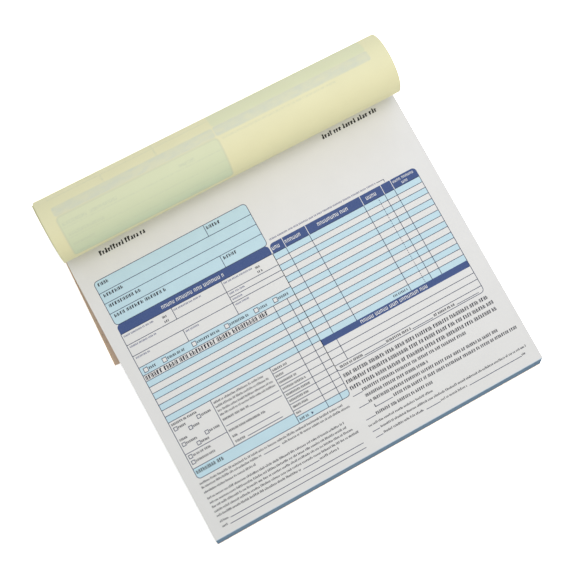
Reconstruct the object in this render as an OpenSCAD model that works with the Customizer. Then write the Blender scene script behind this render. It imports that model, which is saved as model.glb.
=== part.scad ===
// Top-bound invoice book of two-part sets. It lies on its cover, which is folded under it at the binding.
// Its block leans back towards the binding, and its first set is rolled up to the binding.

/* [Sheets] */
// Width of every sheet
sheet_w = 215.9; // [150:0.1:260]
// Length of every sheet, from the binding to its free edge
sheet_l = 203.2; // [180:0.1:280]
// Thickness of one sheet
sheet_t = 0.1; // [0.06:0.01:0.2]
// Radius of the two free corners of a sheet
corner_r = 0.6; // [0.2:0.1:8]
// Sets of a white and a canary sheet that lie under the top set
under_sets = 48; // [5:1:60]
// How far the top of the block leans back over its underside
block_lean = 2.8; // [0:0.1:5]

/* [Board and binding] */
// Thickness of the back board
board_t = 0.8; // [0.4:0.1:2]
// Thickness of the padding glue on the binding edge
glue_t = 0.4; // [0.2:0.1:1]

/* [Cover] */
// Thickness of the cover
cover_t = 0.5; // [0.3:0.05:1]
// Length of the flap under the book, along its left edge from the fold
flap_l = 86; // [60:0.5:150]
// Angle by which the flap lies askew under the book
flap_skew = 2.5; // [0.5:0.1:6]
// How far the flap's left edge starts inside the sheets at the fold
flap_in = 0; // [0:0.1:5]

/* [Rolled set] */
// Length that lies flat between the binding and the roll, half way across
roll_flat = 8.6; // [5:0.1:40]
// Radius of the outer turn, between its two sheets, half way across
roll_r = 19.15; // [16:0.05:30]
// How much smaller the radius is at the right end than at the left end
roll_taper = 0.6; // [0:0.1:1.2]
// Step inwards with each full turn
roll_pitch = 1.2; // [0.8:0.1:3]
// Angle between the roll and the binding
roll_skew = 0.66; // [0:0.02:1.5]
// How far the rolled set lies to the left of the sheets under it
roll_shift = 0.7; // [0:0.1:3]

/* [Hidden] */
$fn = 48;

kraft = "#b9967a";
canary = "#e8e4b9";
white = "#f2f2ee";

// Heights, from the flap on the table up to the roll
board_z = cover_t;
sheets_z = board_z + board_t;
top_z = sheets_z + 2 * under_sets * sheet_t;
roll_z = top_z + 2 * sheet_t;
roll_mid_z = roll_z + sheet_t;

// Binding edge behind the sheets
spine_t = glue_t + cover_t;
fold_w = sheet_w / cos(flap_skew);
fold_left = flap_in - sheet_w / 2;
fold_y = spine_t - block_lean;

// Turns of the roll that use up the sheet, with a point about every 8 degrees
roll_lead = tan(roll_skew);
roll_steps = ceil(max(roll_angle(-1), roll_angle(1)) / 8);
roll_shares = [for (i = [0 : roll_steps]) i / roll_steps];

// Reach of the flap and the roll beyond the sheets, which centres the book on the origin
flap_out = flap_l * sin(flap_skew) - flap_in;
roll_left = [for (share = roll_shares) turn_point(-1, share, sheet_t)];
roll_right = [for (share = roll_shares) turn_point(1, share, sheet_t)];
left_reach = max(flap_out, max([for (p = roll_left) -p[0]]) - sheet_w / 2, 0);
right_reach = max(fold_left + fold_w, max([for (p = roll_right) p[0]]), sheet_w / 2) - sheet_w / 2;
back_reach = max(spine_t, max([for (p = concat(roll_left, roll_right)) p[1]]));
centre_x = (left_reach - right_reach) / 2;
centre_y = (sheet_l + block_lean - back_reach) / 2;

// Place of the binding edge at height z, behind or in front of the top sheet's
function lean_y(z) = -block_lean * (top_z - min(z, top_z)) / (top_z - board_z);

// Radius of the outer turn at a side, -1 left or 1 right
function end_r(side) = roll_r - side * roll_taper / 2;

// Angle that uses up the sheet at a side
function roll_angle(side) =
    let (r = end_r(side), rolled_l = sheet_l - roll_flat - roll_lead * side * sheet_w / 2)
    (r - sqrt(r ^ 2 - roll_pitch * rolled_l / PI)) * 360 / roll_pitch;

// How far a sheet drifts to the right as length l is wound: the skew leads it out, the taper back
function drift(l) = roll_lead * l - roll_taper * l ^ 2 / (2 * roll_r * sheet_w);

// A point of the roll: its side, its share of the turns and how far it lies out from the set's middle
function turn_point(side, share, out) =
    let (
        a = share * roll_angle(side),
        wound = (end_r(side) - roll_pitch * a / 720) * a * PI / 180,
        x = side * sheet_w / 2 - roll_shift + drift(wound),
        r = end_r(side) - roll_pitch * a / 360 + out
    )
    [x, -roll_flat - roll_lead * x - r * sin(a), roll_mid_z + end_r(side) - r * cos(a)];

// Corners of the sheet's edge at a share of the turns: left inner, right inner, right outer, left outer
function turn_ring(share, inner, outer) = [
    for (corner = [[-1, inner], [1, inner], [1, outer], [-1, outer]])
        turn_point(corner[0], share, corner[1])
];

// The first ring again, moved back to the binding
function bound_ring(inner, outer) = [for (p = turn_ring(0, inner, outer)) [p[0], 0, p[2]]];

module in_place() {
    translate([centre_x, centre_y, 0]) children();
}

// A sheet seen from above, its binding edge on the X axis
module sheet_outline() {
    translate([-sheet_w / 2, corner_r - sheet_l]) square([sheet_w, sheet_l - corner_r]);
    translate([corner_r - sheet_w / 2, -sheet_l]) square([sheet_w - 2 * corner_r, corner_r]);
    for (side = [-1, 1])
        translate([side * (sheet_w / 2 - corner_r), corner_r - sheet_l]) circle(corner_r);
}

module sheet(z, t = sheet_t) {
    in_place() translate([0, lean_y(z), z]) linear_extrude(t) sheet_outline();
}

// A strip of thickness t up the leaning binding edge, out from it by gap
module binding_strip(left, width, gap, t) {
    foot = lean_y(board_z) + gap;
    head = gap;
    in_place() translate([left, 0, 0]) rotate([90, 0, 90]) linear_extrude(width)
        polygon([[foot, board_z], [foot + t, board_z], [head + t, top_z], [head, top_z]]);
}

// One sheet of the rolled set, between two faces that lie in or out from the set's middle
module rolled_sheet(inner, outer) {
    rings = concat([bound_ring(inner, outer)], [for (share = roll_shares) turn_ring(share, inner, outer)]);
    last = len(rings) - 1;
    // Each wall is split from the left of one ring to the right of the next, on both sides alike
    walls = [
        for (i = [0 : last - 1], k = [0 : 3])
            let (a = 4 * i + k, b = 4 * i + (k + 1) % 4)
            each k == 2 ? [[a, b, a + 4], [b, b + 4, a + 4]] : [[a, b, b + 4], [a, b + 4, a + 4]]
    ];
    ends = [[2, 1, 0], [3, 2, 0], [for (k = [0, 1, 2]) 4 * last + k], [for (k = [0, 2, 3]) 4 * last + k]];
    in_place() polyhedron([for (ring = rings, p = ring) p], concat(walls, ends));
}

// Tail of the cover under the book, cut off along the fold
module cover_flap() {
    color(kraft) in_place() translate([0, fold_y, 0]) linear_extrude(cover_t) intersection() {
        translate([fold_left, 0]) rotate(-flap_skew) translate([0, -flap_l]) square([sheet_w, 2 * flap_l]);
        translate([-sheet_w, -2 * sheet_l]) square([2 * sheet_w, 2 * sheet_l]);
    }
}

// Part of the cover that is glued up the binding edge
module cover_spine() {
    color(kraft) binding_strip(fold_left, fold_w, glue_t, cover_t);
}

module back_board() {
    color(kraft) sheet(board_z, board_t);
}

module padding_glue() {
    color("ivory") binding_strip(-sheet_w / 2, sheet_w, 0, glue_t);
}

module white_sheets() {
    color(white) for (i = [0 : under_sets - 1]) sheet(sheets_z + (2 * i + 1) * sheet_t);
}

module canary_sheets() {
    color(canary) for (i = [0 : under_sets - 1]) sheet(sheets_z + 2 * i * sheet_t);
}

module top_canary_sheet() {
    color(canary) sheet(top_z);
}

module top_white_sheet() {
    color(white) sheet(top_z + sheet_t);
}

module rolled_canary_sheet() {
    color(canary) rolled_sheet(0, sheet_t);
}

module rolled_white_sheet() {
    color(white) rolled_sheet(-sheet_t, 0);
}

cover_flap();
cover_spine();
back_board();
padding_glue();
white_sheets();
canary_sheets();
top_canary_sheet();
top_white_sheet();
rolled_canary_sheet();
rolled_white_sheet();
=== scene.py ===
"""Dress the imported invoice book: paper, board and glue, the printed form and the rolled-up set."""

import math
import random

import bpy
from bpy.props import FloatProperty, FloatVectorProperty, IntProperty, PointerProperty
from bpy.types import Operator, Panel, PropertyGroup
from mathutils import Matrix, Vector


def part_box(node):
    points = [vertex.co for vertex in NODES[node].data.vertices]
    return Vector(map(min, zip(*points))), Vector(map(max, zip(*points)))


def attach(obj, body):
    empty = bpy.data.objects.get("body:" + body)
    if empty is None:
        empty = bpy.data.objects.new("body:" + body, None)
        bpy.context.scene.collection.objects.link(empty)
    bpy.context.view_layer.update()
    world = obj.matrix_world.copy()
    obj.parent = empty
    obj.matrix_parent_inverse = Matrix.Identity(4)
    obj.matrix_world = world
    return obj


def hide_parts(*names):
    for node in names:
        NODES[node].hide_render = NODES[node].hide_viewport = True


bl_info = {
    "name": "Invoice Book",
    "version": (1, 0, 0),
    "blender": (4, 5, 0),
    "location": "View3D > Sidebar > Invoice Book",
    "description": "Dresses a top-bound book of two-part forms whose first set is rolled up",
    "category": "Object",
}

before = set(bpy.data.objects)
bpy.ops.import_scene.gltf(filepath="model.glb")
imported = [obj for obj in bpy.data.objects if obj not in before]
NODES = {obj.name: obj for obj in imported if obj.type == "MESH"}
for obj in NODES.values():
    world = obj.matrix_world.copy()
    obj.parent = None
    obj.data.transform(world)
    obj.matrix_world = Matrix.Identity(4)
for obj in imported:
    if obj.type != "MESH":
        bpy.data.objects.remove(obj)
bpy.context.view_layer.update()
PAGE_LOW, PAGE_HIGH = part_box("top_white_sheet")
SHEET_W = PAGE_HIGH.x - PAGE_LOW.x
SHEET_L = PAGE_HIGH.y - PAGE_LOW.y
SHEET_T = PAGE_HIGH.z - PAGE_LOW.z
MM = 0.001

# The form is laid out in millimetres from the page's lower left corner.
LEFT = 7.8
MIDDLE = 106.8
RIGHT = 205.2
NAME_TOP = 162.1
NAME_ROWS = (154.7, 148.1, 141.6)
NAME_SPLIT = 79.1
FORM_TOP = 134.1
BAND_FOOT = 128.0
GRID_ROWS = (121.0, 113.9, 106.45)
GRID_HALF_ROW = 117.4
GRID_COLUMNS = (40.2, 72.65)
CHECK_FOOT = 101.3
STRIPE_ROWS = (97.6, 93.85, 89.85, 86.15, 82.45, 78.75, 74.75, 70.95)
SUM_COLUMNS = (92.5, 101.5)
PAYMENT_EDGE = 34.75
PAYMENT_RULE = 50.6
AMOUNT_EDGE = 73.3
AMOUNT_ROWS = (66.9, 62.9, 58.75, 54.6, 50.75, 46.8, 42.75, 39.0)
SIGN_TOP = 41.4
FORM_FOOT = 34.98
TABLE_ROWS = (
    127.75, 124.05, 120.35, 116.65, 112.72, 109.0, 105.03, 101.2,
    97.5, 93.8, 89.87, 86.17, 82.43, 78.72, 74.8, 70.9,
)
TABLE_COLUMNS = (115.4, 130.9, 167.5, 181.7, 188.2)
TABLE_DASHES = 177.2
NOTE_BAND_FOOT = 66.9
NOTE_ROWS = (62.5, 58.3, 53.85)
TABLE_FOOT = 50.1

# Blocks of the form, as left, right, foot and head, and which of their corners are round
NAME_BLOCK = (LEFT, MIDDLE, FORM_TOP, NAME_TOP)
SIGN_ROW = (LEFT, AMOUNT_EDGE, FORM_FOOT, SIGN_TOP)
LAST_ROW = (AMOUNT_EDGE, MIDDLE, FORM_FOOT, AMOUNT_ROWS[-1])
TITLE_BAND = (LEFT, MIDDLE - 0.3, BAND_FOOT, FORM_TOP)
TABLE_BAND = (MIDDLE + 0.5, RIGHT + 0.2, TABLE_ROWS[0], FORM_TOP - 0.1)
NOTE_BAND = (MIDDLE, RIGHT, NOTE_BAND_FOOT, TABLE_ROWS[-1])
LEFT_FIELDS = (LEFT, MIDDLE, FORM_FOOT, BAND_FOOT + 0.2)
RIGHT_FIELDS = (MIDDLE, RIGHT, TABLE_FOOT, BAND_FOOT)
HEAD_CORNERS = ("tl", "tr")
FOOT_CORNERS = ("bl", "br")
ALL_CORNERS = HEAD_CORNERS + FOOT_CORNERS
ROUND_TINTS = ((NAME_BLOCK, ALL_CORNERS), (SIGN_ROW, ("bl",)), (LAST_ROW, ("br",)))
ROUND_BANDS = ((TITLE_BAND, HEAD_CORNERS), (TABLE_BAND, HEAD_CORNERS), (NOTE_BAND, ()))
OUTLINES = ((NAME_BLOCK, ALL_CORNERS), (LEFT_FIELDS, FOOT_CORNERS), (RIGHT_FIELDS, FOOT_CORNERS))
CORNER_SEGMENTS = 6

# Arrowhead in the last amount row, hook at the end of the note over the table, and the dashed column
ARROW = (81.7, 83.6, 35.9, 37.8)
NOTE_HOOK = (185.5, 134.7, 136.2)
DASH_START = 0.5
DASH_LENGTH = 0.7
DASH_PITCH = 1.3
DASH_STOP = 0.8

# Films of ink: where they start within the sheet, and how high each kind stands over it
SINK = -0.01
TINT_TOP = 0.015
BAND_TOP = 0.02
RULE_TOP = 0.03
BARE_TOP = 0.035
WORD_TOP = 0.04
BOX_TOP = 0.045

# Bare paper within the print: how far its lines stand beside the rules, and its margin in a box
BARE_SHIFT = 0.3
BARE_MARGIN = 0.1

# Rules within the cells and under the form: height, start, end
SHORT_RULES = (
    (57.1, 53.1, 72.0), (53.7, 35.8, 72.0), (46.3, 40.8, 66.5), (43.0, 44.1, 66.8),
    (29.3, 47.1, 57.3), (11.3, 62.6, 73.1), (7.75, 13.9, 100.0), (4.7, 12.1, 100.2),
    (136.2, 180.7, 185.5), (51.1, 125.0, 139.4), (51.1, 157.1, 170.8), (51.1, 186.9, 201.8),
    (33.5, 107.5, 113.8), (26.1, 107.5, 114.0), (22.3, 116.1, 127.7), (18.1, 107.7, 114.0),
    (10.6, 107.7, 112.5), (6.8, 107.8, 112.6), (6.8, 141.3, 150.8), (6.8, 170.1, 205.3),
)

# Boxes to tick: left edge and middle height
CHECK_BOX = 2.85
CHECK_BOXES = tuple((x, 103.75) for x in (9.6, 21.6, 40.7, 62.0, 81.2, 93.8))
PAY_BOX = 2.35
PAY_BOXES = (
    (8.9, 66.1), (23.7, 66.1), (16.7, 62.7), (8.9, 56.2),
    (23.6, 56.1), (16.7, 52.9), (8.9, 48.3), (8.9, 44.8),
)

# Lines of greeked words: height of a capital, pitch of its letters, then start, end and middle height
PALE_LINES = (
    (1.0, 0.8, (
        (8.8, 28.1, 126.4), (40.9, 59.6, 126.4), (73.5, 92.6, 126.4), (9.0, 26.2, 119.4),
        (73.6, 84.1, 119.4), (73.7, 80.2, 115.7), (9.1, 18.4, 112.3), (41.3, 50.5, 112.3),
        (73.7, 82.6, 112.3), (109.1, 180.7, 136.3),
    )),
)
WORD_LINES = (
    (1.9, 1.8, (
        (9.5, 17.3, 159.7), (80.2, 89.9, 159.7), (9.7, 22.8, 152.6), (9.7, 31.5, 146.0),
        (9.7, 42.5, 139.5), (80.5, 90.1, 139.5),
    )),
    (1.3, 1.0, (
        (33.2, 36.6, 125.6), (33.2, 36.6, 122.8), (93.9, 97.6, 125.6), (93.9, 97.6, 122.8),
        (8.9, 25.8, 69.0), (8.9, 14.1, 59.2), (11.6, 17.0, 66.1), (26.5, 33.2, 66.1),
        (19.4, 24.0, 62.7), (11.6, 19.2, 56.2), (26.4, 33.6, 56.1), (19.4, 24.4, 52.9),
        (11.7, 23.0, 48.3), (11.7, 24.4, 44.8), (35.8, 52.7, 57.7), (35.9, 59.4, 50.5),
        (36.3, 40.0, 46.8), (36.4, 43.3, 43.5), (74.2, 84.1, 68.7), (74.2, 79.2, 64.8),
        (74.2, 85.2, 60.8), (74.3, 89.3, 56.7), (74.4, 90.4, 52.7), (74.4, 87.5, 48.8),
        (74.5, 85.0, 44.8), (74.5, 77.5, 40.9), (156.5, 166.1, 72.8),
    )),
    (1.5, 1.1, (
        (12.9, 17.8, 103.8), (24.9, 36.0, 103.8), (44.0, 58.6, 103.8), (65.3, 77.4, 103.8),
        (84.5, 90.2, 103.8), (97.1, 104.7, 103.8), (109.2, 124.4, 51.9), (139.9, 156.2, 51.9),
        (171.8, 186.4, 51.9), (74.6, 81.0, 36.9),
    )),
    (2.5, 1.82, ((8.6, 88.5, 99.45),)),
    (2.1, 1.45, ((8.8, 26.0, 38.9),)),
    (2.2, 1.45, ((108.5, 205.2, 46.5), (108.2, 208.7, 42.5), (108.3, 207.2, 38.3))),
    (1.8, 1.2, (
        (114.1, 184.2, 34.4), (114.2, 156.6, 30.6), (114.3, 201.4, 26.8), (128.6, 211.2, 23.1),
        (114.5, 153.7, 18.9), (116.0, 117.2, 23.1),
    )),
)
BODY_LINES = (
    (1.35, 0.85, (
        (35.8, 68.0, 68.7), (35.8, 70.0, 66.1), (35.8, 71.5, 63.5), (35.8, 71.8, 61.0),
        (7.2, 100.1, 32.4), (7.2, 46.1, 29.9), (59.2, 103.3, 29.9), (7.2, 40.4, 26.9),
        (7.3, 95.8, 23.1), (7.3, 96.2, 20.3), (7.3, 98.2, 17.6), (7.3, 101.0, 14.8),
        (7.3, 61.6, 12.0), (73.8, 86.0, 12.0), (7.3, 13.1, 8.5), (7.3, 11.2, 5.5),
        (107.2, 150.2, 14.6), (113.2, 211.0, 11.1), (113.3, 140.2, 7.5), (151.2, 169.1, 7.5),
        (205.7, 208.4, 7.5),
    )),
)
REVERSED_LINES = (
    (1.9, 1.8, (
        (35.5, 76.6, 130.95), (107.9, 113.4, 130.9), (116.5, 129.1, 130.9), (138.1, 158.7, 130.9),
        (170.8, 179.2, 130.9), (132.5, 178.6, 68.9),
    )),
    (1.4, 1.4, ((189.4, 203.2, 132.1), (194.3, 198.4, 129.5))),
)
HEADING_LINES = ((2.9, 1.75, ((18.9, 49.5, 175.6), (165.8, 202.6, 175.4))),)

# Greeked words: letters in a word, then shares of the letters' pitch or of a capital's height
WORD_LETTERS = (2, 9)
LETTER_WIDTH = (0.6, 0.84)
LETTER_GAP = 0.28
WORD_GAP = 0.5
LINE_REST = 0.4
TALL_SHARE = 0.32
SMALL_HEIGHT = 0.72

# Bars of the greeked marks, as shares of a mark's width and height: start, end, foot, head
MARK_BARS = (
    ((0.0, 0.52, 0.0, 1.0), (0.76, 1.0, 0.0, 0.72)),
    ((0.0, 0.24, 0.0, 1.0), (0.5, 1.0, 0.0, 1.0)),
    ((0.1, 0.72, 0.0, 1.0), (0.72, 1.0, 0.78, 1.0)),
)
THIN_BARS = (
    ((0.0, 0.26, 0.0, 1.0), (0.74, 1.0, 0.0, 1.0), (0.26, 0.74, 0.82, 1.0)),
    ((0.0, 0.26, 0.0, 1.0), (0.74, 1.0, 0.0, 1.0), (0.26, 0.74, 0.0, 0.18)),
)
BOLD_BARS = (
    ((0.0, 0.7, 0.0, 1.0), (0.7, 1.0, 0.6, 1.0)),
    ((0.3, 1.0, 0.0, 1.0), (0.0, 0.3, 0.0, 0.4)),
)

# Places of the form on the rolled set, which show through its back: rectangle, strength at foot and at head
SHOW_TINTS = (
    # The name block's show-through is print; its strength falling from 1.0 at its head, on the front of the
    # roll, to 0.5 at its foot, on top of the roll, is painted shade.
    ((LEFT, MIDDLE, FORM_TOP + 0.6, NAME_TOP), 0.5, 1.0),
    ((MIDDLE + 0.5, RIGHT, TABLE_ROWS[7], TABLE_ROWS[0]), 0.4, 0.4),
    ((LEFT, MIDDLE, CHECK_FOOT, GRID_ROWS[2]), 0.6, 0.6),
)
SHOW_BANDS = (
    ((LEFT, MIDDLE - 0.2, BAND_FOOT, FORM_TOP), 0.95, 0.95),
    ((MIDDLE + 0.2, RIGHT, TABLE_ROWS[0], FORM_TOP), 0.95, 0.95),
)
SHOW_MARKS = (
    ((LEFT + 1.5, 24.0, 138.7, 140.5), 0.4, 0.4),
    ((26.0, 42.5, 138.7, 140.5), 0.4, 0.4),
    ((80.5, 90.1, 138.7, 140.5), 0.45, 0.45),
    ((9.7, 31.5, 145.2, 146.9), 0.35, 0.35),
    ((9.7, 22.8, 151.8, 153.5), 0.35, 0.35),
    ((9.5, 17.3, 158.9, 160.6), 0.35, 0.35),
    ((80.2, 89.9, 158.9, 160.6), 0.35, 0.35),
    ((LEFT, MIDDLE, 141.3, 141.9), 0.3, 0.3),
    ((LEFT, MIDDLE, 147.8, 148.4), 0.25, 0.25),
    ((LEFT, MIDDLE, 154.4, 155.0), 0.25, 0.25),
    ((LEFT, MIDDLE, 120.7, 121.4), 0.35, 0.35),
    ((39.7, 40.6, 121.0, 128.0), 0.35, 0.35),
    ((72.2, 73.1, 113.9, 128.0), 0.35, 0.35),
    ((109.0, 181.0, 135.7, 136.8), 0.3, 0.3),
)

# Round corners of these places, and how soft their sides are through the paper and on it
SHOW_TINT_CORNER = 2.4
SHOW_BAND_CORNER = 1.4
SHOW_MARK_CORNER = 0.3
SOFT_PRINT = 0.6
CRISP_PRINT = 0.15

# How deep the cut edges' colour reaches into the stack's steps, and how deep the painted highlight along
# the top sheet's free edge reaches into it
STACK_STEP = 0.25 * MM
TOP_HIGHLIGHT_DEPTH = 0.45 * MM

# Floor, light and camera: each lamp has its place, its side and its colour
FLOOR_SIZE = 8.0
FLOOR_DROP = 0.0001
FLOOR_SEEN = (2.6, 2.45, 2.35, 1.0)
FLOOR_LIGHTING = (0.8, 0.8, 0.8, 1.0)
SKY_SEEN = (1.0, 1.0, 1.0, 1.0)
SKY_LIGHTING = (0.985, 1.0, 0.975, 1.0)
LAMPS = {
    "key": ((0.1, 0.05, 0.42), 0.25, (1.0, 0.95, 0.985)),
    "fill": ((0.0, -1.0, 0.11), 0.18, (1.0, 0.8, 0.3)),
    "rim": ((0.6, 0.7, 0.6), 0.6, (0.5, 0.65, 1.0)),
}
SENSOR_WIDTH = 36.0
CLIP = (0.01, 50.0)

# Ends of the middle range of a noise, and the tone of the paper that thin ink lets through
NOISE_SPAN = (0.3, 0.7)
PAPER_TONE = 0.82


def display(red, green, blue):
    """Return the linear colour of a display colour that is given from 0 to 255."""
    channels = []
    for value in (red, green, blue):
        share = value / 255
        linear = share / 12.92 if share <= 0.04045 else ((share + 0.055) / 1.055) ** 2.4
        channels.append(linear)
    return tuple(channels)


# Tint, bands and marks of the form where they show on or through the rolled sheets
CANARY_OUTSIDE = (display(204, 217, 186), display(209, 213, 190), display(188, 196, 174))
CANARY_INSIDE = (display(190, 214, 196), display(86, 108, 140), display(96, 106, 120))
WHITE_BACK = (display(222, 230, 230), display(206, 214, 222), display(204, 208, 214))

# Painted highlight on the top sheet's cut sides and along its free edge, tone of the canary edges against
# the white ones, and the tint on canary paper
TOP_EDGE_HIGHLIGHT = display(216, 230, 238)
CANARY_EDGE_TONE = 0.92
CANARY_TINT = display(196, 220, 196)


def color_property(name, description, color):
    return FloatVectorProperty(
        name=name, description=description, default=color, min=0.0, max=1.0, subtype="COLOR", size=3
    )


def length_property(name, description, default):
    return FloatProperty(
        name=name, description=description, default=default, min=0.0, unit="LENGTH", subtype="DISTANCE",
        precision=5,
    )


def angle_property(name, description, degrees):
    return FloatProperty(
        name=name, description=description, default=math.radians(degrees), unit="ROTATION", subtype="ANGLE"
    )


def strength_property(name, description, default):
    return FloatProperty(name=name, description=description, default=default, min=0.0)


class BookPaper(PropertyGroup):
    """Colours of the papers, the boards and the glue."""

    white: color_property("White sheet", "Face of a white sheet", display(231, 231, 229))
    canary: color_property("Canary sheet", "Face of a canary sheet", display(229, 226, 184))
    edge: color_property("Cut edges", "Cut edges of the stack of sheets", display(150, 177, 202))
    kraft: color_property("Kraft cover", "Outside of the folded cover", display(242, 206, 175))
    board: color_property("Back board", "Face of the back board", display(232, 202, 173))
    glue: color_property("Padding glue", "Dried film of glue along the binding", display(228, 223, 208))


class BookForm(PropertyGroup):
    """Inks of the printed form and the sizes of its lines."""

    tint: color_property("Tint", "Pale filled rows", display(193, 223, 234))
    band: color_property("Band", "Dark title bands", display(60, 82, 134))
    rule: color_property("Rules", "Lines between the fields", display(40, 54, 86))
    word: color_property("Words", "Greeked words", display(20, 24, 42))
    pale_word: color_property("Pale words", "Greeked words of the smallest size", display(104, 108, 140))
    heading: color_property("Headings", "Greeked words above the form", display(12, 13, 17))
    rule_width: length_property("Rule width", "Width of a printed line", 0.36 * MM)
    corner: length_property("Corner radius", "Rounding of the form's outer corners", 2.4 * MM)
    seed: IntProperty(name="Word seed", description="Seed of the greeked words' lengths", default=4, min=0)


class BookRoll(PropertyGroup):
    """Sizes of the set that is rolled up to the binding."""

    flat: length_property("Flat length", "From the binding to the roll, half way across", 8.6 * MM)
    radius: length_property("Radius", "Outer turn, between its sheets, half way across", 19.1 * MM)
    taper: length_property("Taper", "How much smaller the radius is at the right end", 0.6 * MM)
    pitch: length_property("Pitch", "Step inwards with each full turn", 1.2 * MM)
    skew: angle_property("Skew", "Angle between the roll and the binding", 0.66)
    shift: length_property("Shift", "How far the rolled set lies to the left of the sheets", 0.7 * MM)


class BookStage(PropertyGroup):
    """Camera and light."""

    azimuth: angle_property("Azimuth", "Direction of the camera round the book", -51.83)
    elevation: angle_property("Elevation", "Height of the camera over the page", 81.87)
    roll: angle_property("Roll", "Turn of the camera about its own axis", 23.22)
    distance: length_property("Distance", "Distance from the camera to the page", 0.694)
    aim_x: length_property("Aim across", "Place on the page, from its left edge", 0.105)
    aim_y: length_property("Aim along", "Place on the page, from its free edge", 0.1064)
    lens: FloatProperty(name="Lens", description="Focal length in millimetres", default=74.94, min=1.0)
    ambient: strength_property("Ambient", "Light from all round", 0.625)
    key: strength_property("Key light", "Power of the light overhead", 0.67)
    fill: strength_property("Fill light", "Power of the low light in front", 0.9)
    rim: strength_property("Rim light", "Power of the light behind", 1.0)


# Materials


class Shader:
    """A principled material and short ways to add its nodes."""

    def __init__(self, name, roughness=0.7, specular=0.3):
        self.material = bpy.data.materials.new(name)
        self.material.use_nodes = True
        self.tree = self.material.node_tree
        self.bsdf = self.tree.nodes["Principled BSDF"]
        self.bsdf.inputs["Roughness"].default_value = roughness
        self.bsdf.inputs["Specular IOR Level"].default_value = specular
        self.coordinates = self.add("TexCoord").outputs

    def add(self, kind, **values):
        """Add a node of a kind and set the named inputs."""
        node = self.tree.nodes.new("ShaderNode" + kind)
        for name, value in values.items():
            node.inputs[name].default_value = value
        return node

    def link(self, source, target):
        self.tree.links.new(source, target)

    def put(self, value, target):
        """Link a socket to the target, or set the target to a constant."""
        if isinstance(value, bpy.types.NodeSocket):
            self.link(value, target)
        else:
            target.default_value = value

    def math(self, operation, first, second=0.0):
        node = self.add("Math")
        node.operation = operation
        self.put(first, node.inputs[0])
        self.put(second, node.inputs[1])
        return node.outputs[0]

    def noise(self, scale, stretch=(1.0, 1.0, 1.0), detail=4.0, shift=0.0):
        """Return noise in object space, with about scale cells to the metre."""
        mapping = self.add("Mapping", Scale=stretch, Location=(shift, shift, shift))
        self.link(self.coordinates["Object"], mapping.inputs["Vector"])
        node = self.add("TexNoise", Scale=scale, Detail=detail)
        self.link(mapping.outputs["Vector"], node.inputs["Vector"])
        return node.outputs["Fac"]

    def span(self, value, low, high, start=0.0, end=1.0, smooth=False):
        """Map a value from low..high to start..end, clamped."""
        ends = {"From Min": low, "From Max": high, "To Min": start, "To Max": end}
        node = self.add("MapRange", **ends)
        node.interpolation_type = "SMOOTHSTEP" if smooth else "LINEAR"
        node.clamp = True
        self.link(value, node.inputs["Value"])
        return node.outputs["Result"]

    def mix(self, factor, first, second):
        """Mix two colours, each a socket or a linear colour."""
        node = self.add("Mix")
        node.data_type = "RGBA"
        self.put(factor, node.inputs["Factor"])
        for value, target in ((first, node.inputs[6]), (second, node.inputs[7])):
            self.put(value if isinstance(value, bpy.types.NodeSocket) else (*value, 1.0), target)
        return node.outputs[2]

    def axes(self, vector):
        """Return the X, Y and Z of a vector."""
        node = self.add("SeparateXYZ")
        self.link(vector, node.inputs["Vector"])
        return node.outputs

    def side(self):
        """Return 1 on the cut sides of a flat sheet and 0 on its faces."""
        normal = self.axes(self.coordinates["Normal"])
        return self.math("LESS_THAN", self.math("ABSOLUTE", normal["Z"]), 0.5)

    def step_mask(self, foot_y, foot_z, slope, depth):
        """Return 1 on the narrow steps that the leaning stack shows along its free edge; with no slope, on
        the narrow band of painted highlight along the top sheet's free edge.
        """
        point = self.axes(self.coordinates["Object"])
        rise = self.math("MULTIPLY", self.math("SUBTRACT", point["Z"], foot_z), slope)
        behind = self.math("SUBTRACT", self.math("SUBTRACT", point["Y"], foot_y), rise)
        return self.math("LESS_THAN", behind, depth)

    def flat_place(self):
        """Return the place across and along the unrolled sheet, in millimetres of the form."""
        layer = self.add("UVMap")
        layer.uv_map = "flat"
        point = self.axes(layer.outputs["UV"])
        across = self.math("MULTIPLY", point["X"], SHEET_W / MM)
        along = self.math("MULTIPLY", self.math("SUBTRACT", 1.0, point["Y"]), SHEET_L / MM)
        return across, along

    def distance(self, place, rect, radius):
        """Return how far a place lies outside a rectangle of the form with round corners."""
        squares = []
        for value, low, high in ((place[0], rect[0], rect[1]), (place[1], rect[2], rect[3])):
            off = self.math("ABSOLUTE", self.math("SUBTRACT", value, (low + high) / 2))
            past = self.math("MAXIMUM", self.math("SUBTRACT", off, (high - low) / 2 - radius), 0.0)
            squares.append(self.math("MULTIPLY", past, past))
        return self.math("SUBTRACT", self.math("SQRT", self.math("ADD", *squares)), radius)

    def windows(self, place, rects, radius, soft):
        """Return the strongest of several rectangles of the form, with soft sides."""
        total = None
        for rect, foot, head in rects:
            inside = self.span(self.distance(place, rect, radius), -soft, soft, 1.0, 0.0, smooth=True)
            strength = self.span(place[1], rect[2], rect[3], foot, head)
            inside = self.math("MULTIPLY", inside, strength)
            total = inside if total is None else self.math("MAXIMUM", total, inside)
        return total

    def color(self, value):
        self.link(value, self.bsdf.inputs["Base Color"])

    def bump(self, height, strength, distance):
        node = self.add("Bump", Strength=strength, Distance=distance)
        self.link(height, node.inputs["Height"])
        self.link(node.outputs["Normal"], self.bsdf.inputs["Normal"])

    def roughen(self, value, low, high):
        self.link(self.span(value, *NOISE_SPAN, low, high), self.bsdf.inputs["Roughness"])


def tone(color, factor):
    return tuple(min(1.0, channel * factor) for channel in color)


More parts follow.
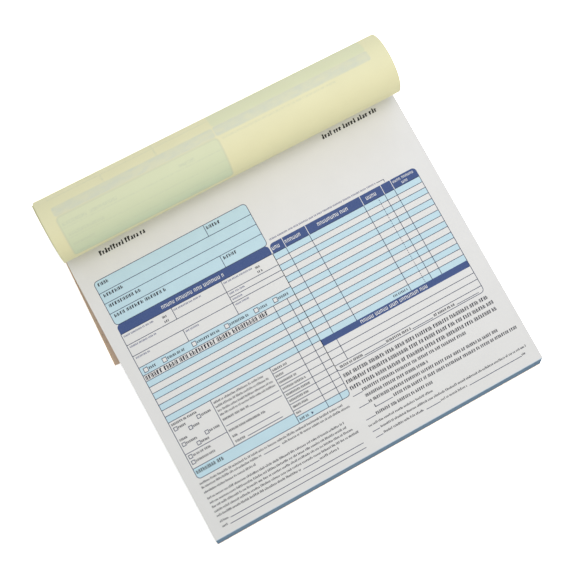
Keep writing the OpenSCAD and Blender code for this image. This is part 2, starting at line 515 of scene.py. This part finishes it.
def paper_color(shader, color):
    """Return the faintly mottled colour of a sheet's face, and set its tooth."""
    cloud = shader.span(shader.noise(scale=60.0, detail=3.0), *NOISE_SPAN)
    fibre = shader.span(shader.noise(scale=2600.0, detail=3.0, shift=0.3), low=0.3, high=0.75)
    base = shader.mix(cloud, tone(color, 0.972), color)
    shader.bump(shader.noise(scale=4200.0, detail=2.0), strength=0.12, distance=0.06 * MM)
    shader.roughen(fibre, low=0.62, high=0.78)
    return shader.mix(shader.math("MULTIPLY", fibre, 0.35), base, tone(color, 0.945))


def paper_material(name, color, edge, lean=None):
    """Make a sheet of paper whose cut sides have their own colour, which on the top sheet is a painted
    highlight; lean also takes in the stack's steps, or the top sheet's band of painted highlight.
    """
    shader = Shader(name)
    face = paper_color(shader, color)
    streak = shader.noise(scale=30.0, stretch=(1.0, 1.0, 330.0), detail=3.0)
    nick = shader.noise(scale=420.0, stretch=(1.0, 1.0, 0.4), detail=2.0)
    worn = shader.mix(shader.span(nick, low=0.45, high=0.75), tone(edge, 0.95), tone(edge, 1.08))
    cut = shader.mix(shader.span(streak, low=0.32, high=0.68), tone(edge, 0.86), worn)
    mask = shader.side()
    if lean is not None:
        mask = shader.math("MAXIMUM", mask, shader.step_mask(*lean))
    shader.color(shader.mix(mask, face, cut))
    return shader.material


def kraft_material(name, color, fleck, grain, edge=None):
    """Make a brown board with long pale and dark fibres; its cut sides can have their own colour."""
    shader = Shader(name, specular=0.2)
    cloud = shader.span(shader.noise(scale=45.0, detail=5.0), *NOISE_SPAN)
    fibre = shader.noise(scale=900.0, stretch=(0.16, 1.0, 1.0), detail=4.0)
    cross = shader.noise(scale=900.0, stretch=(1.0, 0.16, 1.0), detail=4.0, shift=0.7)
    speck = shader.span(shader.noise(scale=fleck, detail=2.0, shift=0.2), low=0.62, high=0.72)
    base = shader.mix(cloud, tone(color, 0.93), tone(color, 1.05))
    light = shader.mix(shader.span(fibre, low=0.55, high=0.75, end=0.5), base, tone(color, 1.22))
    dark = shader.mix(shader.span(cross, low=0.56, high=0.76, end=0.5), light, tone(color, 0.78))
    face = shader.mix(shader.math("MULTIPLY", speck, 0.6), dark, tone(color, 0.6))
    if edge is not None:
        face = shader.mix(shader.side(), face, shader.mix(cloud, tone(edge, 0.92), edge))
    shader.color(face)
    shader.bump(fibre, strength=grain, distance=0.1 * MM)
    shader.roughen(cloud, low=0.72, high=0.86)
    return shader.material


def glue_material(name, color):
    """Make a dried film of brushed padding glue."""
    shader = Shader(name, specular=0.45)
    brush = shader.noise(scale=160.0, stretch=(0.12, 1.0, 1.0), detail=5.0)
    bead = shader.noise(scale=700.0, detail=2.0, shift=0.4)
    tinted = shader.mix(shader.span(brush, low=0.35, high=0.65), tone(color, 0.86), color)
    beads = shader.span(bead, low=0.6, high=0.72, end=0.4)
    shader.color(shader.mix(beads, tinted, tone(color, 0.74)))
    shader.bump(brush, strength=0.35, distance=0.2 * MM)
    shader.roughen(brush, low=0.34, high=0.52)
    return shader.material


def ink_material(name, color, cover):
    """Make an ink film that is a little uneven; cover says how evenly it was printed."""
    shader = Shader(name, roughness=0.62, specular=0.25)
    cloud = shader.span(shader.noise(scale=90.0, detail=3.0), *NOISE_SPAN)
    grain = shader.span(shader.noise(scale=3000.0, detail=2.0, shift=0.5), low=0.35, high=0.7)
    base = shader.mix(cloud, tone(color, 0.96), tone(color, 1.03))
    paler = tuple(channel + (PAPER_TONE - channel) * (1.0 - cover) for channel in color)
    shader.color(shader.mix(grain, base, paler))
    shader.bump(grain, strength=0.06, distance=0.04 * MM)
    return shader.material


def rolled_material(name, color, inks, soft):
    """Make a face of the rolled-up sheets, with the form on it or showing through it."""
    tint, band, mark = inks
    shader = Shader(name, specular=0.5)
    face = paper_color(shader, color)
    place = shader.flat_place()
    face = shader.mix(shader.windows(place, SHOW_TINTS, SHOW_TINT_CORNER, soft), face, tint)
    uneven = shader.noise(scale=300.0, stretch=(0.5, 1.0, 1.0), detail=4.0)
    patch = shader.span(uneven, low=0.35, high=0.65, start=0.6)
    dark = shader.math("MULTIPLY", shader.windows(place, SHOW_BANDS, SHOW_BAND_CORNER, soft), patch)
    face = shader.mix(dark, face, band)
    broken = shader.noise(scale=900.0, detail=1.0, shift=0.6)
    letters = shader.span(broken, low=0.4, high=0.6, start=0.35)
    faint = shader.math("MULTIPLY", shader.windows(place, SHOW_MARKS, SHOW_MARK_CORNER, soft), letters)
    away = shader.math("ABSOLUTE", shader.distance(place, SHOW_TINTS[0][0], SHOW_TINT_CORNER))
    outline = shader.span(away, low=soft * 0.5, high=soft + 0.3, start=0.3, end=0.0)
    shader.color(shader.mix(shader.math("MAXIMUM", faint, outline), face, mark))
    return shader.material


def assign(obj, *materials):
    obj.data.materials.clear()
    for material in materials:
        obj.data.materials.append(material)


# Modelling


def deselect():
    if bpy.context.mode != "OBJECT":
        bpy.ops.object.mode_set(mode="OBJECT")
    bpy.ops.object.select_all(action="DESELECT")


def activate(obj):
    deselect()
    obj.select_set(True)
    bpy.context.view_layer.objects.active = obj


def apply_transform(obj):
    activate(obj)
    bpy.ops.object.transform_apply(location=True, rotation=True, scale=True)


def fit_pad(obj, rect, low, high):
    """Move and stretch a unit pad to a rectangle of the page, between two heights, in millimetres."""
    low_x, high_x, low_y, high_y = rect
    centre = Vector((low_x + high_x, low_y + high_y, low + high)) * (MM / 2)
    obj.location = Vector((PAGE_LOW.x, PAGE_LOW.y, PAGE_HIGH.z)) + centre
    obj.scale = Vector((high_x - low_x, high_y - low_y, high - low)) * MM


def new_pad(name):
    """Make a unit pad of ink."""
    deselect()
    bpy.ops.mesh.primitive_cube_add(size=1.0)
    pad = bpy.context.object
    pad.name = name
    return pad


def copy_of(obj):
    """Copy an object with a mesh of its own."""
    copy = obj.copy()
    copy.data = obj.data.copy()
    bpy.context.collection.objects.link(copy)
    return copy


def joined(parts, name):
    """Join films to one object at the origin."""
    deselect()
    for part in parts:
        part.select_set(True)
    bpy.context.view_layer.objects.active = parts[0]
    if len(parts) > 1:
        bpy.ops.object.join()
    film = bpy.context.view_layer.objects.active
    apply_transform(film)
    film.name = name
    film.data.name = name
    return film


def select_none(obj, kind):
    """Deselect all of a mesh, in the select mode of a kind."""
    activate(obj)
    bpy.ops.object.mode_set(mode="EDIT")
    bpy.ops.mesh.select_mode(type=kind)
    bpy.ops.mesh.select_all(action="DESELECT")
    bpy.ops.object.mode_set(mode="OBJECT")


def round_corners(obj, radius, corners):
    """Bevel the upright edges of a placed pad; corners names them as bl, br, tr and tl."""
    apply_transform(obj)
    centre = sum((vertex.co for vertex in obj.data.vertices), Vector()) / len(obj.data.vertices)
    names = {(False, False): "bl", (True, False): "br", (True, True): "tr", (False, True): "tl"}
    select_none(obj, "EDGE")
    for edge in obj.data.edges:
        first = obj.data.vertices[edge.vertices[0]].co
        second = obj.data.vertices[edge.vertices[1]].co
        upright = abs(first.x - second.x) + abs(first.y - second.y) < 1e-7
        edge.select = upright and names[(first.x > centre.x, first.y > centre.y)] in corners
    bpy.ops.object.mode_set(mode="EDIT")
    bpy.ops.mesh.bevel(offset=radius, offset_type="OFFSET", segments=CORNER_SEGMENTS, affect="EDGES")
    bpy.ops.object.mode_set(mode="OBJECT")


def hollow(obj, width):
    """Cut a placed pad to a frame whose bars are width wide."""
    select_none(obj, "FACE")
    for face in obj.data.polygons:
        face.select = abs(face.normal.z) > 0.9
    bpy.ops.object.mode_set(mode="EDIT")
    bpy.ops.mesh.inset(thickness=width, use_individual=True)
    bpy.ops.mesh.bridge_edge_loops()
    bpy.ops.object.mode_set(mode="OBJECT")


def boxed(pad, rects, low, high):
    """Copy the pad to every rectangle."""
    copies = []
    for rect in rects:
        copy = copy_of(pad)
        fit_pad(copy, rect, low, high)
        copies.append(copy)
    return copies


def new_marks(pad, kinds, name):
    """Make the greeked marks of one weight, each from a few bars that fill a unit pad."""
    marks = []
    for number, kind in enumerate(kinds):
        parts = []
        for start, end, foot, head in kind:
            bar = copy_of(pad)
            bar.location = ((start + end) / 2 - 0.5, (foot + head) / 2 - 0.5, 0.0)
            bar.scale = (end - start, head - foot, 1.0)
            parts.append(bar)
        marks.append(joined(parts, "%s_%d" % (name, number)))
    return marks


def stamped(marks, rng, rects, low, high):
    """Copy one of the marks to every rectangle."""
    copies = []
    for rect in rects:
        copies.extend(boxed(rng.choice(marks), (rect,), low, high))
    return copies


def rounded(pad, rect, low, high, radius, corners, frame_width=0.0):
    """Copy the pad to one rectangle with some round corners, as a film or as a frame."""
    copy = copy_of(pad)
    fit_pad(copy, rect, low, high)
    if corners:
        round_corners(copy, radius, corners)
    else:
        apply_transform(copy)
    if frame_width:
        hollow(copy, frame_width)
    return copy


def greek(rng, lines, small):
    """Return letter-size rectangles in words of random length, for lines of the layout."""
    marks = []
    for cap, pitch, places in lines:
        for start, end, middle in places:
            x = start
            foot = middle - cap / 2
            while x < end - LINE_REST * pitch:
                for _ in range(rng.randint(*WORD_LETTERS)):
                    width = pitch * rng.uniform(*LETTER_WIDTH)
                    if x + width > end:
                        break
                    tall = not small or rng.random() < TALL_SHARE
                    marks.append((x, x + width, foot, foot + cap * (1.0 if tall else SMALL_HEIGHT)))
                    x += width + LETTER_GAP * pitch
                x += WORD_GAP * pitch
    return marks


def bars(rows, columns, half):
    """Return thin rectangles for rules: rows are (y, x0, x1) and columns are (x, y0, y1)."""
    level = [(start, end, y - half, y + half) for y, start, end in rows]
    upright = [(x - half, x + half, start, end) for x, start, end in columns]
    return level + upright


def form_rows():
    """Return the level rules of the form: height, start and end."""
    return [
        *((y, LEFT, MIDDLE) for y in (*NAME_ROWS, *GRID_ROWS, CHECK_FOOT, *STRIPE_ROWS)),
        (GRID_HALF_ROW, GRID_COLUMNS[1], MIDDLE),
        (PAYMENT_RULE, LEFT, PAYMENT_EDGE),
        (SIGN_TOP, LEFT, AMOUNT_EDGE),
        *((y, AMOUNT_EDGE, MIDDLE) for y in AMOUNT_ROWS),
        *((y, MIDDLE, RIGHT) for y in (*TABLE_ROWS[1:-1], *NOTE_ROWS)),
        *SHORT_RULES,
    ]


def form_columns():
    """Return the upright rules of the form: place, start and end."""
    columns = [
        (NAME_SPLIT, NAME_ROWS[0], NAME_TOP),
        (NAME_SPLIT, FORM_TOP, NAME_ROWS[2]),
        (GRID_COLUMNS[0], GRID_ROWS[0], BAND_FOOT),
        (GRID_COLUMNS[0], GRID_ROWS[2], GRID_ROWS[1]),
        (GRID_COLUMNS[1], GRID_ROWS[2], BAND_FOOT),
        *((x, FORM_FOOT, CHECK_FOOT) for x in SUM_COLUMNS),
        (PAYMENT_EDGE, SIGN_TOP, STRIPE_ROWS[-1]),
        (AMOUNT_EDGE, FORM_FOOT, STRIPE_ROWS[-1]),
        *((x, TABLE_ROWS[-1], TABLE_ROWS[0]) for x in TABLE_COLUMNS),
        (TABLE_COLUMNS[0], NOTE_ROWS[2], NOTE_BAND_FOOT),
        NOTE_HOOK,
    ]
    dash = TABLE_ROWS[-1] + DASH_START
    while dash < TABLE_ROWS[0] - DASH_STOP:
        columns.append((TABLE_DASHES, dash, dash + DASH_LENGTH))
        dash += DASH_PITCH
    return columns


def tint_rows():
    """Return the plain tinted rows as rectangles."""
    rows = [(LEFT, MIDDLE, CHECK_FOOT, GRID_ROWS[2])]
    for top, foot in zip(STRIPE_ROWS[0::2], STRIPE_ROWS[1::2]):
        rows.append((LEFT, MIDDLE, foot, top))
    for top, foot in zip(TABLE_ROWS[0::2], TABLE_ROWS[1::2]):
        rows.append((MIDDLE, RIGHT, foot, top))
    return rows


def arrow(low, high):
    """Make the small arrowhead in the last amount row."""
    deselect()
    bpy.ops.mesh.primitive_cylinder_add(vertices=3, radius=0.5, depth=1.0)
    head = bpy.context.object
    head.rotation_euler = (0.0, 0.0, math.radians(-90.0))
    apply_transform(head)
    fit_pad(head, ARROW, low, high)
    return head


FILMS = ("tints", "bands", "rules", "reversed", "pale_words", "words", "headings")


class BOOK_OT_cover(Operator):
    """Give the folded cover its kraft board."""

    bl_idname = "book.cover"
    bl_label = "Cover"

    def execute(self, context):
        paper = context.scene.book_paper
        material = kraft_material("kraft_cover_board", paper.kraft, fleck=700.0, grain=0.25)
        assign(NODES["cover_flap"], material)
        assign(NODES["cover_spine"], material)
        return {"FINISHED"}


class BOOK_OT_board(Operator):
    """Give the back board its brown chipboard."""

    bl_idname = "book.board"
    bl_label = "Back Board"

    def execute(self, context):
        paper = context.scene.book_paper
        material = kraft_material("chip_board", paper.board, fleck=380.0, grain=0.4, edge=paper.edge)
        assign(NODES["back_board"], material)
        return {"FINISHED"}


class BOOK_OT_binding(Operator):
    """Give the padding glue its brushed film."""

    bl_idname = "book.binding"
    bl_label = "Padding Glue"

    def execute(self, context):
        paper = context.scene.book_paper
        assign(NODES["padding_glue"], glue_material("brushed_glue", paper.glue))
        return {"FINISHED"}


class BOOK_OT_sheets(Operator):
    """Give the flat sheets their papers and their cut edges."""

    bl_idname = "book.sheets"
    bl_label = "Flat Sheets"

    def execute(self, context):
        paper = context.scene.book_paper
        white, canary, edge = paper.white, paper.canary, paper.edge
        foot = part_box("back_board")[0]
        slope = (PAGE_LOW.y - foot.y) / (PAGE_LOW.z - SHEET_T - foot.z)
        lean = (foot.y, foot.z, slope, STACK_STEP)
        # The top sheet's cut sides and a narrow band along its free edge get a pale cyan painted highlight,
        # not the cut edges' colour.
        level = (PAGE_LOW.y, PAGE_LOW.z, 0.0, TOP_HIGHLIGHT_DEPTH)
        papers = {
            "white_sheets": paper_material("white_stack", white, edge, lean),
            "canary_sheets": paper_material("canary_stack", canary, tone(edge, CANARY_EDGE_TONE), lean),
            "top_canary_sheet": paper_material("canary_leaf_paper", canary, edge),
            "top_white_sheet": paper_material("white_leaf_paper", white, TOP_EDGE_HIGHLIGHT, level),
        }
        for node, material in papers.items():
            assign(NODES[node], material)
        return {"FINISHED"}


class BOOK_OT_roll(Operator):
    """Model the two sheets of the rolled-up set as smooth spirals."""

    bl_idname = "book.roll"
    bl_label = "Rolled Set"

    TURN_STEPS = 240
    ACROSS = 12
    SMOOTH_ANGLE = math.radians(40.0)

    def execute(self, context):
        paper = context.scene.book_paper
        form = context.scene.book_form
        canary, white = paper.canary, paper.white
        inks = (form.tint, form.band, form.word)
        outside = rolled_material("canary_outside", canary, CANARY_OUTSIDE, SOFT_PRINT)
        inside = rolled_material("canary_inside", canary, CANARY_INSIDE, CRISP_PRINT)
        face = rolled_material("white_rolled_face", white, inks, CRISP_PRINT)
        back = rolled_material("white_rolled_back", white, WHITE_BACK, SOFT_PRINT)
        self.sheet(context, "rolled_canary", "rolled_canary_sheet", 0.0, (outside, inside))
        self.sheet(context, "rolled_white", "rolled_white_sheet", -SHEET_T, (back, face))
        return {"FINISHED"}

    def point(self, roll, across, share, lift):
        """Return a point of the roll and its length along the sheet, from shares of width and turns."""
        side = (across - 0.5) * SHEET_W
        lead = math.tan(roll.skew)
        outer = roll.radius - (across - 0.5) * roll.taper
        rolled = SHEET_L - roll.flat - lead * side
        reach = outer - math.sqrt(outer ** 2 - roll.pitch * rolled / math.pi)
        angle = share * reach * 2 * math.pi / roll.pitch
        wound = (outer - roll.pitch * angle / (4 * math.pi)) * angle
        drift = lead * wound - roll.taper * wound ** 2 / (2 * roll.radius * SHEET_W)
        x = side - roll.shift + drift
        radius = outer - roll.pitch * angle / (2 * math.pi) + lift
        tangent = -roll.flat - lead * x
        y = tangent - radius * math.sin(angle)
        z = PAGE_HIGH.z + SHEET_T + outer - radius * math.cos(angle)
        middle_x = (PAGE_LOW.x + PAGE_HIGH.x) / 2
        return Vector((middle_x + x, PAGE_HIGH.y + y, z)), wound - tangent

    def sheet(self, context, name, node, inner, materials):
        roll = context.scene.book_roll
        deselect()
        bpy.ops.mesh.primitive_grid_add(
            x_subdivisions=self.ACROSS, y_subdivisions=self.TURN_STEPS + 1, size=1.0
        )
        obj = bpy.context.object
        obj.name = name
        obj.data.name = name
        layer = obj.data.uv_layers.active
        layer.name = "flat"
        lengths = []
        for vertex in obj.data.vertices:
            across = vertex.co.x + 0.5
            step = round((vertex.co.y + 0.5) * (self.TURN_STEPS + 1)) - 1
            spot, length = self.point(roll, across, max(step, 0) / self.TURN_STEPS, inner)
            if step < 0:
                spot.y = PAGE_HIGH.y
                length = 0.0
            vertex.co = spot
            lengths.append((across, min(length / SHEET_L, 1.0)))
        for loop in obj.data.loops:
            layer.data[loop.index].uv = lengths[loop.vertex_index]
        activate(obj)
        thick = obj.modifiers.new("thickness", "SOLIDIFY")
        thick.thickness = SHEET_T
        thick.offset = 1.0
        thick.material_offset = 1
        thick.material_offset_rim = 0
        assign(obj, *materials)
        bpy.ops.object.modifier_apply(modifier=thick.name)
        bpy.ops.object.mode_set(mode="EDIT")
        bpy.ops.mesh.select_all(action="SELECT")
        bpy.ops.mesh.normals_make_consistent(inside=False)
        bpy.ops.object.mode_set(mode="OBJECT")
        bpy.ops.object.shade_smooth_by_angle(angle=self.SMOOTH_ANGLE)
        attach(obj, "rolled_set")
        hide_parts(node)


class BOOK_OT_form(Operator):
    """Print the form on the open white sheet, as thin films of ink."""

    bl_idname = "book.form"
    bl_label = "Printed Form"

    def execute(self, context):
        form = context.scene.book_form
        half = form.rule_width / MM / 2
        radius = form.corner
        rng = random.Random(form.seed)
        pad = new_pad("ink_pad")
        marks = new_marks(pad, MARK_BARS, "greek_mark")
        thin = new_marks(pad, THIN_BARS, "thin_mark")
        bold = new_marks(pad, BOLD_BARS, "bold_mark")
        films = {
            "tints": self.tints(pad, radius),
            "bands": self.bands(pad, radius),
            "rules": self.rules(pad, radius, half),
            "reversed": self.bare_paper(pad, thin, rng, half),
            "pale_words": stamped(marks, rng, greek(rng, PALE_LINES, False), SINK, WORD_TOP),
            "words": self.words(marks, rng),
            "headings": stamped(bold, rng, greek(rng, HEADING_LINES, True), SINK, WORD_TOP),
        }
        for obj in (pad, *marks, *thin, *bold):
            bpy.data.objects.remove(obj)
        inks = {
            "tints": ink_material("tint_ink", form.tint, cover=0.9),
            "bands": ink_material("band_ink", form.band, cover=0.97),
            "rules": ink_material("rule_ink", form.rule, cover=0.95),
            "reversed": ink_material("bare_paper", context.scene.book_paper.white, cover=1.0),
            "pale_words": ink_material("pale_word_ink", form.pale_word, cover=0.95),
            "words": ink_material("word_ink", form.word, cover=0.95),
            "headings": ink_material("heading_ink", form.heading, cover=0.96),
        }
        for kind in FILMS:
            film = joined(films[kind], "white_form_" + kind)
            assign(film, inks[kind])
            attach(film, "white_leaf")
        return {"FINISHED"}

    def tints(self, pad, radius):
        parts = boxed(pad, tint_rows(), SINK, TINT_TOP)
        for rect, corners in ROUND_TINTS:
            parts.append(rounded(pad, rect, SINK, TINT_TOP, radius, corners))
        return parts

    def bands(self, pad, radius):
        return [rounded(pad, rect, SINK, BAND_TOP, radius, corners) for rect, corners in ROUND_BANDS]

    def rules(self, pad, radius, half):
        width = 2 * half * MM
        parts = boxed(pad, bars(form_rows(), form_columns(), half), SINK, RULE_TOP)
        for (low_x, high_x, low_y, high_y), corners in OUTLINES:
            rect = (low_x - half, high_x + half, low_y - half, high_y + half)
            parts.append(rounded(pad, rect, SINK, RULE_TOP, radius, corners, width))
        for size, places in ((CHECK_BOX, CHECK_BOXES), (PAY_BOX, PAY_BOXES)):
            parts.extend(self.tick_boxes(pad, size, places, width))
        parts.append(arrow(SINK, WORD_TOP))
        return parts

    def tick_boxes(self, pad, size, places, width):
        """Make the first box of a kind and copy it to the other places."""
        start_x, start_y = places[0]
        rect = (start_x, start_x + size, start_y - size / 2, start_y + size / 2)
        boxes = [rounded(pad, rect, SINK, BOX_TOP, 0.0, (), width)]
        for x, y in places[1:]:
            copy = copy_of(boxes[0])
            copy.location = Vector((x - start_x, y - start_y, 0.0)) * MM
            boxes.append(copy)
        return boxes

    def bare_paper(self, pad, marks, rng, half):
        """Make the bare lines in the table's band, the bare boxes and the bare words in the bands."""
        bare = []
        for x in TABLE_COLUMNS:
            line = x + BARE_SHIFT
            bare.append((line - half, line + half, TABLE_ROWS[0] + BARE_MARGIN, FORM_TOP - BARE_MARGIN))
        reach = CHECK_BOX / 2
        for x, y in CHECK_BOXES:
            across = (x + BARE_MARGIN, x + CHECK_BOX - BARE_MARGIN)
            bare.append((*across, y - reach + BARE_MARGIN, y + reach - BARE_MARGIN))
        words = stamped(marks, rng, greek(rng, REVERSED_LINES, False), SINK, BARE_TOP)
        return boxed(pad, bare, SINK, BARE_TOP) + words

    def words(self, marks, rng):
        rects = greek(rng, WORD_LINES, False) + greek(rng, BODY_LINES, True)
        return stamped(marks, rng, rects, SINK, WORD_TOP)


class BOOK_OT_copies(Operator):
    """Print the form again on the canary sheet and on the white sheet under it."""

    bl_idname = "book.copies"
    bl_label = "Form on the Sheets Below"

    def execute(self, context):
        canary = context.scene.book_paper.canary
        over = {
            "tints": ink_material("canary_tint_ink", CANARY_TINT, cover=0.92),
            "reversed": ink_material("canary_bare_paper", canary, cover=1.0),
        }
        leaves = (
            ("canary_form_", "canary_leaf", "canary_paper", 1),
            ("block_form_", "book_block", "white_paper", 2),
        )
        for prefix, body, slot, depth in leaves:
            for kind in FILMS:
                source = bpy.data.objects.get("white_form_" + kind)
                if source is None:
                    raise RuntimeError("the form is printed on the top sheet first")
                film = copy_of(source)
                film.name = prefix + kind
                film.data.name = film.name
                film.location = (0.0, 0.0, -depth * SHEET_T)
                apply_transform(film)
                if body == "canary_leaf" and kind in over:
                    assign(film, over[kind])
                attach(film, body)
        return {"FINISHED"}


class BOOK_OT_stage(Operator):
    """Set up the floor, the light and the camera."""

    bl_idname = "book.stage"
    bl_label = "Stage"

    def execute(self, context):
        stage = context.scene.book_stage
        self.floor()
        self.world(context, stage)
        for name, (spot, size, color) in LAMPS.items():
            self.light(name + "_light", spot, size, getattr(stage, name), color)
        self.camera(context, stage)
        context.scene.view_settings.view_transform = "Standard"
        return {"FINISHED"}

    def floor(self):
        deselect()
        bpy.ops.mesh.primitive_plane_add(size=FLOOR_SIZE, location=(0.0, 0.0, -FLOOR_DROP))
        floor = bpy.context.object
        floor.name = "floor"
        material = bpy.data.materials.new("white_floor")
        self.blend(material, "OutputMaterial", "BsdfDiffuse", FLOOR_LIGHTING, FLOOR_SEEN)
        assign(floor, material)

    def direct(self, tree):
        """Return 1 for rays that show the background: camera, glossy and transmission rays."""
        path = tree.nodes.new("ShaderNodeLightPath")
        total = path.outputs["Is Camera Ray"]
        for name in ("Is Glossy Ray", "Is Transmission Ray"):
            node = tree.nodes.new("ShaderNodeMath")
            node.operation = "MAXIMUM"
            tree.links.new(total, node.inputs[0])
            tree.links.new(path.outputs[name], node.inputs[1])
            total = node.outputs[0]
        return total

    def blend(self, owner, output, kind, lighting, seen):
        """Light the book with one colour and show the other; return the shader that lights."""
        owner.use_nodes = True
        tree = owner.node_tree
        tree.nodes.clear()
        mix = tree.nodes.new("ShaderNodeMixShader")
        tree.links.new(self.direct(tree), mix.inputs[0])
        shaders = []
        for color, target in ((lighting, mix.inputs[1]), (seen, mix.inputs[2])):
            shader = tree.nodes.new("ShaderNode" + kind)
            shader.inputs["Color"].default_value = color
            tree.links.new(shader.outputs[0], target)
            shaders.append(shader)
        end = tree.nodes.new("ShaderNode" + output)
        tree.links.new(mix.outputs[0], end.inputs["Surface"])
        return shaders[0]

    def world(self, context, stage):
        world = bpy.data.worlds.new("studio")
        context.scene.world = world
        lighting = self.blend(world, "OutputWorld", "Background", SKY_LIGHTING, SKY_SEEN)
        lighting.inputs["Strength"].default_value = stage.ambient

    def light(self, name, spot, size, power, color):
        data = bpy.data.lights.new(name, "AREA")
        data.shape = "SQUARE"
        data.size = size
        data.energy = power
        data.color = color
        lamp = bpy.data.objects.new(name, data)
        bpy.context.collection.objects.link(lamp)
        lamp.location = spot
        lamp.visible_camera = False
        lamp.rotation_euler = (-Vector(spot)).to_track_quat("-Z", "Y").to_euler()

    def camera(self, context, stage):
        data = bpy.data.cameras.new("camera")
        data.sensor_width = SENSOR_WIDTH
        data.lens = stage.lens
        data.clip_start, data.clip_end = CLIP
        aim = Vector((PAGE_LOW.x + stage.aim_x, PAGE_LOW.y + stage.aim_y, PAGE_HIGH.z))
        flat = math.cos(stage.elevation)
        back = Vector((
            math.sin(stage.azimuth) * flat, -math.cos(stage.azimuth) * flat, math.sin(stage.elevation)
        ))
        level = back.cross(Vector((0.0, 0.0, -1.0))).normalized()
        upright = back.cross(level)
        turn = Matrix((level, upright, back)).transposed()
        camera = bpy.data.objects.new("camera", data)
        context.collection.objects.link(camera)
        turned = turn @ Matrix.Rotation(stage.roll, 3, "Z")
        camera.matrix_world = Matrix.Translation(aim + back * stage.distance) @ turned.to_4x4()
        context.scene.camera = camera


STEPS = (
    BOOK_OT_cover, BOOK_OT_board, BOOK_OT_binding, BOOK_OT_sheets, BOOK_OT_roll, BOOK_OT_form,
    BOOK_OT_copies, BOOK_OT_stage,
)
GROUPS = {
    "book_paper": BookPaper,
    "book_form": BookForm,
    "book_roll": BookRoll,
    "book_stage": BookStage,
}


class BOOK_PT_panel(Panel):
    """List the steps that dress the book and the values they use."""

    bl_idname = "BOOK_PT_panel"
    bl_label = "Invoice Book"
    bl_space_type = "VIEW_3D"
    bl_region_type = "UI"
    bl_category = "Invoice Book"

    def draw(self, context):
        for step in STEPS:
            self.layout.operator(step.bl_idname)
        for name, group in GROUPS.items():
            column = self.layout.column(align=True)
            for key in group.__annotations__:
                column.prop(getattr(context.scene, name), key)


def register():
    for group in GROUPS.values():
        bpy.utils.register_class(group)
    for name, group in GROUPS.items():
        setattr(bpy.types.Scene, name, PointerProperty(type=group))
    for step in (*STEPS, BOOK_PT_panel):
        bpy.utils.register_class(step)


def unregister():
    for step in (BOOK_PT_panel, *reversed(STEPS)):
        bpy.utils.unregister_class(step)
    for name in GROUPS:
        delattr(bpy.types.Scene, name)
    for group in reversed(tuple(GROUPS.values())):
        bpy.utils.unregister_class(group)


def main():
    register()
    bpy.ops.book.cover()
    bpy.ops.book.board()
    bpy.ops.book.binding()
    bpy.ops.book.sheets()
    bpy.ops.book.roll()
    bpy.ops.book.form()
    bpy.ops.book.copies()
    bpy.ops.book.stage()


if __name__ == "__main__":
    main()
